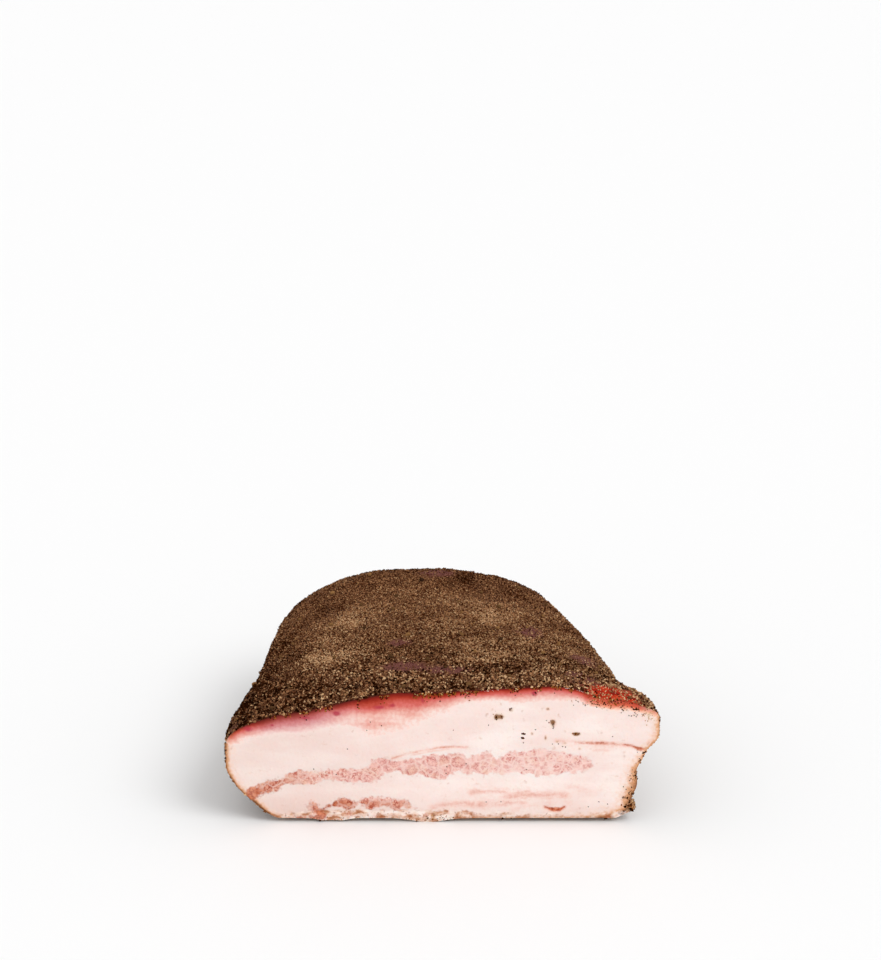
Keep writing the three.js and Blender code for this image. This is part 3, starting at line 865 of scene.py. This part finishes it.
def build_cut():
    """The body with its cut, skin and pockets, and the lean pieces in these."""
    backs = DEPTH * np.sin(np.linspace(0, math.pi / 2, RINGS))
    backs = np.r_[RIM_BACK, backs[backs > RIM_BACK + FIRST_STEP]]
    around = np.arange(AROUND) / AROUND
    shell = skin(around[None, :], backs[:, None], CRAGS + LUMPS)
    shell[0] = skin(around, 0.0, CRAGS)
    shell[0, :, 1] = RIM_BACK
    outline = shell[0][:, [0, 2]]
    loops = [lean_outline(**one) for one in LEAN.values()]
    flat, triangles, indices, region = triangulated_cut(outline, loops)
    x, z = flat.T
    looks, rim, groove = cut_looks(x, z, outline, loops)
    depth = cut_depth(x, z, looks["lumps"], rim, groove)
    depth[indices[0]] = RIM_BACK
    cut = np.insert(flat, 1, depth, axis=1)

    points = [cut]
    faces = triangles[region == 0].tolist()
    which = [1] * len(faces)
    outside = lofted(points, indices[0], shell[1:])
    faces += outside
    which += [0] * len(outside)
    pieces = {}
    for k, (name, streak) in enumerate(LEAN.items(), 1):
        loop = loops[k - 1]
        pocket = lean_rings(loop, **streak, grow=GAP * 0.8)
        pocket.insert(0, np.insert(moved_out(loop, GAP * 0.8), 1, 1.0, axis=1))
        pocket[-1][:, 1] += GAP
        inner = [face[::-1] for face in lofted(points, indices[k], pocket)]
        faces += inner
        which += [1] * len(inner)
        own = [cut]
        meat = triangles[region == k].tolist() + lofted(own, indices[k], lean_rings(loop, **streak))
        pieces[name] = piece_with_cut(f"{name}_meat", own, meat, looks, LEAN_BEHIND, [CUT])
    body = piece_with_cut("jowl_body", points, faces, looks, -LEAN_REACH, [CRUST, CUT], which)
    return body, pieces


# The crust

BARE_PATCHES = [
    (-17, 27, 12, 5, 0.9), (2, 22, 9, 4, 1), (-19, 48, 6, 4, 0.8), (38, 66, 6, 7, 0.9),
    (60, 46, 7, 6, 0.9), (57, 19, 7, 4, 0.9), (76, 28, 8, 8, 0.6), (64, 10, 18, 8, 0.5),
    (-2, 118, 10, 5, 0.7),
]
RAW_PATCH = (70, 3, 10, 11, 1.15)

# Where the pepper is golden, and where it is dark. The dark swelling over the whole left flank, at -85
# across, is painted shade.
TONES = [
    (-42, 78, 14, 10, 0.7), (-8, 105, 16, 10, 0.8), (8, 97, 9, 7, 0.5), (20, 80, 10, 9, 0.7),
    (35, 60, 8, 6, 0.5), (-50, 45, 14, 10, 0.45), (-50, 97, 7, 7, -0.7), (-33, 14, 7, 4, -0.5),
    (10, 114, 7, 6, -0.8), (20, 25, 7, 4, -0.4), (64, 34, 7, 7, -0.6), (66, 7, 22, 11, 0.6),
    (-85, 40, 24, 60, -0.9), (-10, 132, 90, 24, -0.7),
]


def crust_fields(points):
    """Attributes of the skin: where it has little pepper, to which painted shade over the left flank is
    added, raw, rind, or dark red beside the cut.
    """
    x, y, z = points.T
    top = smoothstep(z, 40, 50)
    bare = swells(x, y, BARE_PATCHES) * top
    # Painted shade: the left flank is made purple-dark, with thinner pepper
    bare = bare + 0.35 * smoothstep(-x, 78, 90)
    raw = swell(x, y, *RAW_PATCH) * smoothstep(z, 44, 52)
    rind = smoothstep(6 - z, 0, 5) * 0.9
    seam = np.exp(-((y / 3.2) ** 2)) * top * (1 - smoothstep(raw, 0.1, 0.5)) * smoothstep(86 - x, 0, 6)
    return dict(bare=bare, raw=raw, rind=rind, seam=seam)


def pepper_tone(points):
    """From dark, below 0, to golden, above 0."""
    x, y, z = points.T
    patches = swells(x, y, TONES) * smoothstep(z, 30, 45)
    wide = field(points * (0.5, 1, 1), 11, 14)
    return 1.4 * patches + 0.7 * wide + 0.4 * field(points, 4.5, 15) - 0.2 * np.exp(-y / 6)


def surface_spots(body, count, random, weight):
    """Random places on the skin, with the way out of it: even by area times weight(points)."""
    mesh = body.data
    mesh.calc_loop_triangles()
    which = np.empty(len(mesh.loop_triangles), np.int32)
    corners = np.empty(len(which) * 3, np.int32)
    mesh.loop_triangles.foreach_get("vertices", corners)
    mesh.loop_triangles.foreach_get("material_index", which)
    points = np.empty(len(mesh.vertices) * 3)
    mesh.vertices.foreach_get("co", points)
    points = points.reshape(-1, 3) * 1000 - SHIFT
    triangles = points[corners.reshape(-1, 3)[which == 0]]
    normals = np.cross(triangles[:, 1] - triangles[:, 0], triangles[:, 2] - triangles[:, 0])
    areas = np.linalg.norm(normals, axis=1)
    wanted = areas * weight(triangles.mean(1))
    chosen = random.choice(len(areas), count, p=wanted / wanted.sum())
    a, b = random.random((2, count, 1))
    flip = a + b > 1
    a, b = np.where(flip, 1 - a, a), np.where(flip, 1 - b, b)
    corner = triangles[chosen]
    spots = corner[:, 0] + a * (corner[:, 1] - corner[:, 0]) + b * (corner[:, 2] - corner[:, 0])
    return spots, normals[chosen] / areas[chosen, None]


def random_turns(random, count):
    """Random rotation matrices."""
    q = random.normal(size=(count, 4))
    w, x, y, z = (q / np.linalg.norm(q, axis=1)[:, None]).T
    rows = [
        [1 - 2 * (y * y + z * z), 2 * (x * y - z * w), 2 * (x * z + y * w)],
        [2 * (x * y + z * w), 1 - 2 * (x * x + z * z), 2 * (y * z - x * w)],
        [2 * (x * z - y * w), 2 * (y * z + x * w), 1 - 2 * (x * x + y * y)],
    ]
    return np.array(rows).transpose(2, 0, 1)


def chunk(corners):
    """A regular solid of triangles on a ball of radius 1, with its faces seen from outside."""
    points = np.array(corners, float)
    points = points / np.linalg.norm(points, axis=1)[:, None]
    side = np.linalg.norm(points[1:] - points[0], axis=1).min()
    faces = []
    for i, j, k in combinations(range(len(points)), 3):
        a, b, c = points[[i, j, k]]
        if np.linalg.norm([b - a, c - b, a - c], axis=1).max() < side * 1.1:
            outwards = np.dot(np.cross(b - a, c - a), a + b + c) > 0
            faces.append((i, j, k) if outwards else (i, k, j))
    return points, np.array(faces)


GOLDEN = (1 + math.sqrt(5)) / 2
PANEL = [(-1, GOLDEN, 0), (1, GOLDEN, 0), (-1, -GOLDEN, 0), (1, -GOLDEN, 0)]
ICOSAHEDRON = chunk(PANEL + [(z, x, y) for x, y, z in PANEL] + [(y, z, x) for x, y, z in PANEL])
OCTAHEDRON = chunk([(1, 0, 0), (-1, 0, 0), (0, 1, 0), (0, -1, 0), (0, 0, 1), (0, 0, -1)])


def grains(
    name, spots, outs, radii, material, random,
    shape=OCTAHEDRON, lift=0.2, flat=(1, 0.8, 0.6), shift=0.0, deep=1.0,
):
    """Crushed grains, each an uneven chunk, kept inside the box of the solids. The shift moves their tones,
    and deep scales how far they reach from front to back."""
    base, faces = shape
    count, corners = len(spots), len(base)
    uneven = base[None] * random.uniform(0.7, 1.15, (count, corners, 1)) * np.array(flat)
    turned = np.einsum("nij,nkj->nki", random_turns(random, count), uneven) * (1, deep, 1)
    points = turned * radii[:, None, None] + (spots + outs * (radii * lift)[:, None])[:, None]
    over = np.maximum(points.max(1) - BOX_HIGH, 0)
    below = np.maximum(BOX_LOW - points.min(1), 0)
    points = points + (below - over)[:, None]
    every = (faces[None] + np.arange(count)[:, None, None] * corners).reshape(-1, 3)
    tone = np.repeat(np.clip(random.random(count) + shift, 0, 1), corners)
    points = points.reshape(-1, 3)
    piece = mesh_object(name, points, every, [material], smooth=False, attributes={"tone": tone})
    return piece


def thickness_of_pepper(points):
    """How densely the pepper lies, from 0 to 1."""
    values = crust_fields(points)
    x, y, z = points.T
    patchy = 0.8 + 0.5 * field(points, 11, 4)
    # Thinner where the skin shows through, and on the left flank as part of its painted shade
    share = np.clip(patchy - 0.75 * values["bare"], 0.12, 1)
    share = share * (1 - 0.65 * smoothstep(values["raw"], 0.15, 0.8))
    share = share * (1 - 0.45 * np.clip(values["seam"], 0, 1))
    return share * (1 - 0.9 * smoothstep(6 - z, 0, 4))


def coarse_grains():
    """The fragments that the solids have, at the same places."""
    state = 11

    def draw():
        nonlocal state
        state = (state * 1664525 + 1013904223) % 2**32
        return state / 2**32

    placed = []
    while len(placed) < COARSE_GRAINS:
        tries = []
        for _ in range(SPREAD_TRIES):
            around, y = draw(), DEPTH * draw()
            place, along = skin(np.array([around, (around + 1e-3) % 1]), np.array([y, y]))
            if place[1] > CLEAR_OF_CUT and place[2] > CLEAR_OF_TABLE:
                out = np.array([-(along - place)[2], 0, (along - place)[0]])
                tries.append((place, out / np.linalg.norm(out)))
        if tries:
            known = np.array([one[0] for one in placed] or [(0, 0, 1e6)])
            placed.append(max(tries, key=lambda one: np.linalg.norm(known - one[0], axis=1).min()))
    spots, outs = (np.array(each) for each in zip(*placed))
    random = np.random.default_rng(84)
    radii = random.uniform(*COARSE_RADIUS, len(spots))
    material = pepper_material("coarse_pepper", "3c281c", "a0764a")
    grains("pepper_coarse", spots, outs, radii, material, random, ICOSAHEDRON, COARSE_LIFT, (1, 0.8, 0.8))


# Kinds of grain: lean is how much they keep to golden places, and calm how much less they stand out far back
PEPPER = [
    dict(
        name="pepper_brown", count=24500, radius=(0.35, 0.75), seed=21,
        dark="663e26", light="c08b62", lean=0.2, calm=0,
    ),
    dict(
        name="pepper_black", count=19000, radius=(0.35, 0.85), seed=22,
        dark="120300", light="4e2610", lean=-1.1, calm=-0.5,
    ),
    dict(
        name="pepper_pale", count=17000, radius=(0.3, 0.7), seed=23,
        dark="b08256", light="f0c698", lean=1.3, calm=0.5,
    ),
]
ON_FLAP = 45


def pepper_size(points):
    """Grains are larger near the cut and smaller where the crust is worn to the raw meat."""
    worn = smoothstep(crust_fields(points)["raw"], 0.2, 0.7)
    return lerp(1.45, 0.85, smoothstep(points[:, 1], 0, 50)) * (1 - 0.35 * worn)


def scatter_pepper(body, flap):
    for kind in PEPPER:
        random = np.random.default_rng(kind["seed"])

        def weight(points):
            lean = np.exp(kind["lean"] * pepper_tone(points))
            fewer = 1 - 0.6 * min(abs(kind["lean"]), 1) * smoothstep(points[:, 1], 40, 110)
            return thickness_of_pepper(points) * lean * fewer / pepper_size(points) ** 2

        spots, outs = surface_spots(body, kind["count"], random, weight)
        more, outwards = surface_spots(flap, ON_FLAP, random, lambda points: 1)
        spots, outs = np.vstack([spots, more]), np.vstack([outs, outwards])
        small, large = kind["radius"]
        radii = lerp(small, large, random.random(len(spots)) ** 1.8) * pepper_size(spots)
        material = pepper_material(kind["name"], kind["dark"], kind["light"])
        calm = kind["calm"] * (smoothstep(spots[:, 1], 0, 110) - 0.3)
        grains(kind["name"], spots, outs, radii, material, random, shift=0.3 * pepper_tone(spots) - calm)


# The rays that find the cut start before it and go so far
RAY_START = -5
RAY_LENGTH = 7.5


def on_the_cut(pieces, x, z):
    """Places on the cut behind given places across and up, and which of them were found."""
    trees = [BVHTree.FromObject(piece, bpy.context.evaluated_depsgraph_get()) for piece in pieces]
    starts = in_frame(np.stack([x, np.full(len(x), float(RAY_START)), z], 1))
    found = []
    for start in starts:
        hits = [tree.ray_cast(start.tolist(), (0, 1, 0), RAY_LENGTH / 1000)[0] for tree in trees]
        depths = [hit.y for hit in hits if hit is not None]
        found.append(min(depths) if depths else np.nan)
    y = np.array(found) * 1000 - SHIFT[1]
    known = ~np.isnan(y)
    return np.stack([x, y, z], 1)[known], known


def scatter_specks(pieces):
    """Specks of pepper that the knife left on the cut, half sunk in it."""
    for seed, (name, groups) in enumerate(SPECKS.items(), 60):
        random = np.random.default_rng(seed)
        specks = []
        for across, up, wide, high, count, large in groups:
            x = across + wide * random.normal(size=count)
            z = up + high * random.normal(size=count)
            specks.append((x, z, large * random.uniform(0.55, 1.1, count)))
        along = random.uniform(-EDGE_REACH, EDGE_REACH, EDGE_GRAINS[name])
        along = along[field(np.outer(along, (1, 0, 0)), 4, 17) > 0.05]
        z = top_at_cut(along) - 0.1 - random.exponential(0.6, len(along))
        specks.append((along, z, random.uniform(*EDGE_SIZE, len(along))))
        if name == "cut_specks_black":
            x, z = np.transpose(SINGLE_SPECKS)
            specks.append((x, z, np.full(len(x), SINGLE_SIZE)))
        x, z, size = np.hstack(specks)
        look = pepper_material(*SPECK_LOOKS[name])
        put_on_the_cut(name, pieces, x, np.maximum(z, SPECK_LOWEST), size, look, random)


def put_on_the_cut(name, pieces, x, z, size, material, random):
    spots, known = on_the_cut(pieces, x, z)
    outs = np.tile((0.0, -1.0, 0.0), (len(spots), 1))
    grains(name, spots, outs, size[known], material, random, ICOSAHEDRON, 0.0, (1, 0.75, 0.6), deep=0.5)


def scatter_beads(pieces):
    """Glossy beads along the upper edge of the cut, whose near-white colour is a painted highlight for wet
    glints of fat.
    """
    random = np.random.default_rng(77)
    beads = []
    for across, under, wide, high, count, large in BEADS:
        x = across + wide * random.uniform(-1, 1, count)
        z = top_at_cut(x) - under + high * random.normal(size=count)
        beads.append((x, z, large * random.uniform(0.6, 1.1, count)))
    # Near-white: a painted highlight; the gloss itself is real
    wet = Material("glint_bead", 0.12).finish(tint("fdf3ec"))
    put_on_the_cut("glint_beads", pieces, *np.hstack(beads), wet, random)


def build_flap():
    """The hard flap of crust at the lower right corner of the cut."""
    base, faces = ICOSAHEDRON
    for _ in range(3):
        base, faces = subdivided(base, faces)
    points = base * FLAP["half"] + FLAP["place"]
    bumps = sum(height * field(points, size, 6 + k) for k, (size, height) in enumerate(FLAP["relief"]))
    points = points + base * bumps[:, None]
    points[:, 1] = np.maximum(points[:, 1], 0.9)
    points[:, 2] = np.maximum(points[:, 2], 0.1)
    values = {key: np.zeros(len(points)) for key in crust_fields(points)}
    piece = mesh_object("corner_flap", points, faces, [CRUST], attributes=values)
    return piece


def subdivided(points, faces):
    """A ball of triangles, each split in four."""
    points = list(map(tuple, points))
    middles = {}

    def middle(a, b):
        key = (min(a, b), max(a, b))
        if key not in middles:
            both = np.array(points[a]) + np.array(points[b])
            middles[key] = len(points)
            points.append(tuple(both / np.linalg.norm(both)))
        return middles[key]

    finer = []
    for a, b, c in faces:
        ab, bc, ca = middle(a, b), middle(b, c), middle(c, a)
        finer += [(a, ab, ca), (ab, b, bc), (ca, bc, c), (ab, bc, ca)]
    return np.array(points), np.array(finer)


# Stage, light and camera


CAMERA_PLACE = (-0.837, -1105.19, 601.40)
CAMERA_DOWN = 22
FOCAL_PIXELS = 2986
PHOTO_WIDTH = 881
SENSOR = 36
WORLD_LIGHT = 0.83

# Half the floor's width and the light's direction, in metres
FLOOR = 6
KEY_LIGHT = dict(place=(0.56, -0.4, 0.75), strength=1.15, spread=35)


def camera():
    data = bpy.data.cameras.new("camera")
    data.sensor_fit = "HORIZONTAL"
    data.sensor_width = SENSOR
    data.lens = FOCAL_PIXELS / PHOTO_WIDTH * SENSOR
    data.clip_end = 30
    seen = placed("camera", data)
    seen.location = in_frame(CAMERA_PLACE)
    seen.rotation_euler = (math.radians(90 - CAMERA_DOWN), 0, 0)
    bpy.context.scene.camera = seen


def sun(name, place, strength, spread):
    """Soft light from the direction of a place, with no fall-off, so that the floor is lit evenly."""
    data = bpy.data.lights.new(name, "SUN")
    data.energy = strength
    data.angle = math.radians(spread)
    lamp = placed(name, data)
    lamp.location = place
    lamp.rotation_euler = lamp.location.to_track_quat("Z", "Y").to_euler()


def stage():
    m = Material("floor", roughness=0.7)
    mesh = bpy.data.meshes.new("floor")
    corners = [(-FLOOR, -FLOOR, 0), (FLOOR, -FLOOR, 0), (FLOOR, FLOOR, 0), (-FLOOR, FLOOR, 0)]
    mesh.from_pydata(corners, [], [(0, 1, 2, 3)])
    mesh.materials.append(m.finish(tint("f4f4f4")))
    floor = placed("floor", mesh)
    world = bpy.data.worlds.new("studio")
    world.use_nodes = True
    background = world.node_tree.nodes["Background"]
    background.inputs["Color"].default_value = (1, 1, 1, 1)
    background.inputs["Strength"].default_value = WORLD_LIGHT
    bpy.context.scene.world = world
    bpy.context.scene.view_settings.view_transform = "Standard"
    sun("key", **KEY_LIGHT)


camera()
stage()
CUT = cut_material()
CRUST = crust_material()
jowl, lean_pieces = build_cut()
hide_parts("fat_and_crust")
for node, piece in lean_pieces.items():
    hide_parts(node)
flap = build_flap()
coarse_grains()
scatter_pepper(jowl, flap)
face = [jowl, *lean_pieces.values(), flap]
scatter_specks(face)
scatter_beads(face)
